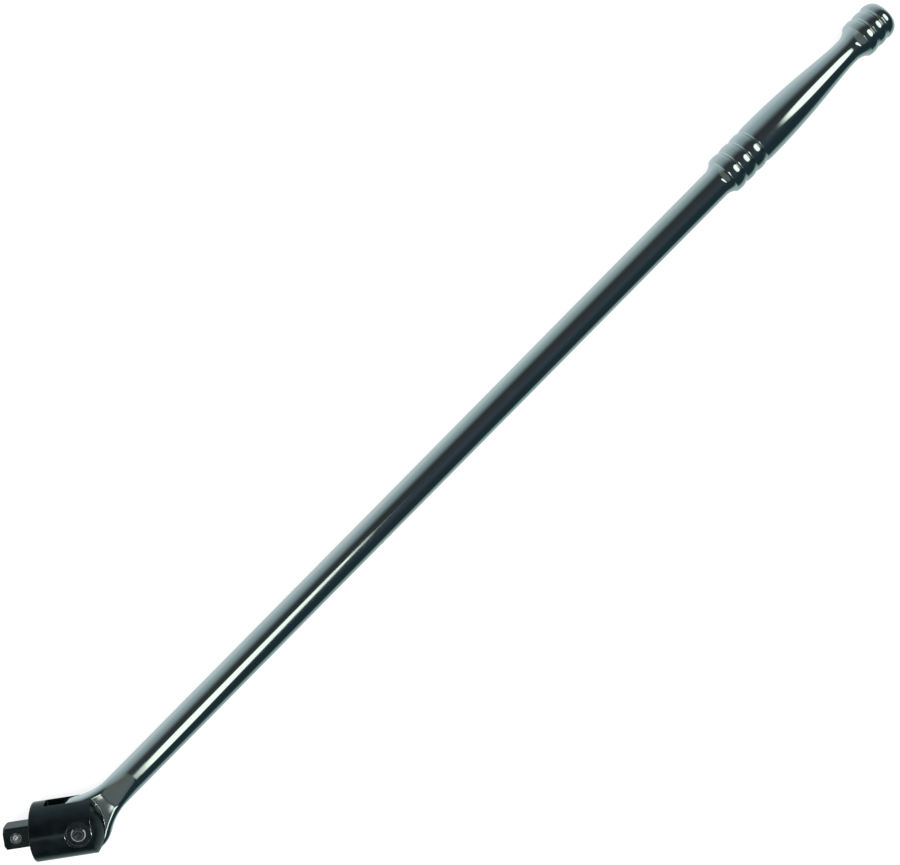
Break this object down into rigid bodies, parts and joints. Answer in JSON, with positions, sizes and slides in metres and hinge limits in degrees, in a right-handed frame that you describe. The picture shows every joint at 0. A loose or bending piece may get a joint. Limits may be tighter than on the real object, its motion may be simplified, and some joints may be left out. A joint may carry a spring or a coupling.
{
  "type": "breaker bar",
  "caption": "Long chrome breaker bar with a ringed grip and a black flexing head with a half inch male square drive and a sprung socket ball.",
  "frame": {"origin": "centre of the footprint of the whole tool, with its head bent as it is stored, on the plane of its lowest point", "axes": "+X along the bar from the head towards the knob, +Z along the pivot pin towards the face of the square that holds the socket ball, +Y completes the right-handed set"},
  "size_m": [0.7054, 0.0498, 0.0342],
  "materials": {
    "bar_chrome": "polished",
    "head_black_oxide": "satin",
    "pin_steel": "satin",
    "ring_steel": "satin",
    "plunger_steel": "satin",
    "spring_steel": "satin",
    "ball_steel": "polished"
  },
  "bodies": {
    "handle": {"handle_bar": "bar_chrome"},
    "head": {"drive_head": "head_black_oxide", "pivot_pin": "pin_steel", "retaining_ring_upper": "ring_steel", "retaining_ring_lower": "ring_steel", "friction_plunger": "plunger_steel", "friction_spring": "spring_steel", "socket_ball_spring": "spring_steel"},
    "socket_ball": {"socket_ball": "ball_steel"}
  },
  "joints": [
    {"name": "head_flex", "type": "hinge", "parent": "handle", "child": "head", "pos_m": [-0.31376, -0.00753, 0.0171], "axis": [0, 0, 1], "range_deg": [-52, 128]},
    {"name": "socket_ball_press", "type": "slide", "parent": "head", "child": "socket_ball", "axis": [0, 0, 1], "range_m": [-0.001, 0], "stiffness_N_per_m": 1500, "springref_m": 0.002, "deforming": ["socket_ball_spring"]}
  ]
}
